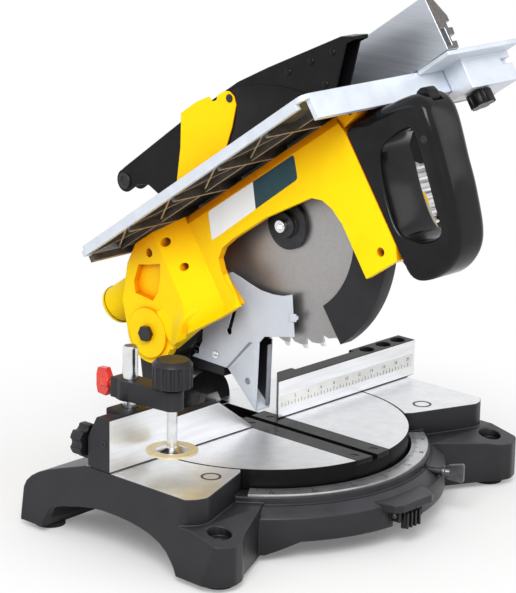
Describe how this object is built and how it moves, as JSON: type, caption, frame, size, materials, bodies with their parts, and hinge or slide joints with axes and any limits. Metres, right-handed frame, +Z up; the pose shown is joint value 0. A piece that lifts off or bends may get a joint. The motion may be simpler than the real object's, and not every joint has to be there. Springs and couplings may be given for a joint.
{
  "type": "table mitre saw",
  "caption": "Bench mitre saw with a swivelling base, tilting spring-raised head, guarded disc blade, side motor and a small rip table with its own fence and hood on top.",
  "frame": {"origin": "on the rotary table's axis, in the plane of the feet", "axes": "+Z up, +X along the fence to the motor side, +Y to the back"},
  "size_m": [0.464, 0.4812, 0.5243],
  "materials": {
    "black_casting": "textured dark coat",
    "table_casting": "dark coat, machined top",
    "fence_metal": "machined face",
    "yellow_casting": "yellow powder coat",
    "yellow_plastic": "moulded",
    "black_plastic": "moulded",
    "red_plastic": "moulded",
    "rubber": "matt",
    "steel": "bright",
    "dark_steel": "blackened",
    "grey_sheet": "painted sheet",
    "pale_casting": "pale coat",
    "rip_metal": "brushed extrusion",
    "motor_metal": "ribbed casting",
    "scale_metal": "engraved scale",
    "pad": "soft pad"
  },
  "bodies": {
    "base": {"base_casting": "black_casting", "rubber_feet": "rubber", "mitre_scale": "scale_metal", "fence_left": "fence_metal", "fence_right": "fence_metal", "clamp_post": "steel", "detent_pin": "steel"},
    "fence_knob_left": {"fence_knob_left": "black_plastic"},
    "fence_knob_right": {"fence_knob_right": "black_plastic"},
    "mitre_lock": {"mitre_lock": "dark_steel"},
    "detent": {"detent_lever": "black_plastic"},
    "clamp_arm": {"clamp_arm": "black_casting"},
    "clamp_wing": {"clamp_wing": "red_plastic"},
    "clamp_foot": {"clamp_foot": "steel", "clamp_pad": "pad"},
    "clamp_screw": {"clamp_spindle": "steel", "clamp_knob": "black_plastic"},
    "table": {"rotary_table": "table_casting", "kerf_left": "black_plastic", "kerf_right": "black_plastic", "strip_screws": "dark_steel", "centre_bolt": "steel", "centre_nut": "steel"},
    "bracket": {"tilt_bracket": "black_casting", "bevel_shaft": "steel", "bevel_nut": "steel", "rear_guard": "grey_sheet", "guard_screws": "steel"},
    "head": {"head_casting": "yellow_casting", "pivot_bolt": "dark_steel", "pivot_nut": "dark_steel", "chip_port": "yellow_plastic", "saw_table": "pale_casting", "riving_knife": "dark_steel", "knife_screws": "steel", "handle": "black_plastic", "trigger_pin": "dark_steel", "motor_body": "motor_metal", "motor_cap": "black_plastic", "motor_fitting": "yellow_plastic"},
    "trigger": {"trigger": "black_plastic"},
    "lock_button": {"top_lever": "black_plastic"},
    "blade": {"arbor": "steel", "inner_flange": "dark_steel", "outer_flange": "dark_steel", "arbor_bolt": "steel", "blade": "steel"},
    "lower_guard": {"lower_guard": "black_plastic"},
    "upper_guard": {"upper_guard": "black_plastic", "guard_pin": "dark_steel", "side_plate": "yellow_plastic", "plate_rivets": "dark_steel"},
    "rip_fence": {"rip_fence": "rip_metal", "rip_carriage": "pale_casting"},
    "rip_knob": {"rip_knob": "black_plastic"}
  },
  "joints": [
    {"name": "table_swivel", "type": "hinge", "parent": "base", "child": "table", "pos_m": [0, 0, 0.05], "axis": [0, 0, -1], "range_deg": [-45, 45]},
    {"name": "bevel_tilt", "type": "hinge", "parent": "table", "child": "bracket", "pos_m": [0, 0.11, 0.08], "axis": [0, -1, 0], "range_deg": [0, 30]},
    {"name": "head_chop", "type": "hinge", "parent": "bracket", "child": "head", "pos_m": [0, 0.111, 0.162], "axis": [-1, 0, 0], "range_deg": [-34, 0], "stiffness_Nm_per_rad": 22, "springref_deg": 80.21},
    {"name": "lower_guard_swing", "type": "hinge", "parent": "head", "child": "lower_guard", "pos_m": [0, -0.03002, 0.29198], "axis": [-1, 0, 0], "range_deg": [-0.5, 55]},
    {"name": "blade_spin", "type": "hinge", "parent": "head", "child": "blade", "pos_m": [0, -0.03002, 0.29198], "axis": [-1, 0, 0], "continuous": true},
    {"name": "upper_guard_lift", "type": "hinge", "parent": "head", "child": "upper_guard", "pos_m": [0, 0.19368, 0.29995], "axis": [-1, 0, 0], "range_deg": [0, 30]},
    {"name": "trigger_pull", "type": "hinge", "parent": "head", "child": "trigger", "pos_m": [0, -0.20716, 0.41279], "axis": [-1, 0, 0], "range_deg": [0, 7], "stiffness_Nm_per_rad": 1, "springref_deg": -5.73},
    {"name": "lock_press", "type": "slide", "parent": "head", "child": "lock_button", "axis": [0, -0.5592, -0.829], "range_m": [0, 0.0025], "stiffness_N_per_m": 400, "springref_m": -0.002},
    {"name": "rip_slide", "type": "slide", "parent": "head", "child": "rip_fence", "axis": [1, 0, 0], "range_m": [-0.03, 0.01]},
    {"name": "rip_lock", "type": "hinge", "parent": "rip_fence", "child": "rip_knob", "pos_m": [0.112, -0.17048, 0.42424], "axis": [0, 0.5592, 0.829], "continuous": true},
    {"name": "fence_lock_left", "type": "hinge", "parent": "base", "child": "fence_knob_left", "pos_m": [-0.212, 0.03, 0.102], "axis": [0, 1, 0], "continuous": true},
    {"name": "fence_lock_right", "type": "hinge", "parent": "base", "child": "fence_knob_right", "pos_m": [0.18, 0.0225, 0.1], "axis": [0, 1, 0], "continuous": true},
    {"name": "mitre_lock_turn", "type": "hinge", "parent": "base", "child": "mitre_lock", "pos_m": [0.07776, -0.16676, 0.05], "axis": [0.4226, -0.9063, 0], "continuous": true},
    {"name": "detent_press", "type": "hinge", "parent": "base", "child": "detent", "pos_m": [0, -0.188, 0.033], "axis": [1, 0, 0], "range_deg": [0, 10], "stiffness_Nm_per_rad": 1, "springref_deg": -5.73},
    {"name": "clamp_swing", "type": "hinge", "parent": "base", "child": "clamp_arm", "pos_m": [-0.176, 0.015, 0.151], "axis": [0, 0, -1], "range_deg": [0, 20]},
    {"name": "clamp_wing_turn", "type": "hinge", "parent": "clamp_arm", "child": "clamp_wing", "pos_m": [-0.176, 0.04, 0.151], "axis": [0, 1, 0], "continuous": true},
    {"name": "clamp_travel", "type": "slide", "parent": "clamp_arm", "child": "clamp_foot", "axis": [0, 0, -1], "range_m": [-0.025, 0.0025]},
    {"name": "clamp_turn", "type": "hinge", "parent": "clamp_foot", "child": "clamp_screw", "pos_m": [-0.171, -0.037, 0.151], "axis": [0, 0, 1], "continuous": true}
  ],
  "couplings": [
    {"joint": "lower_guard_swing", "follows": "head_chop", "ratio": -1.6}
  ]
}
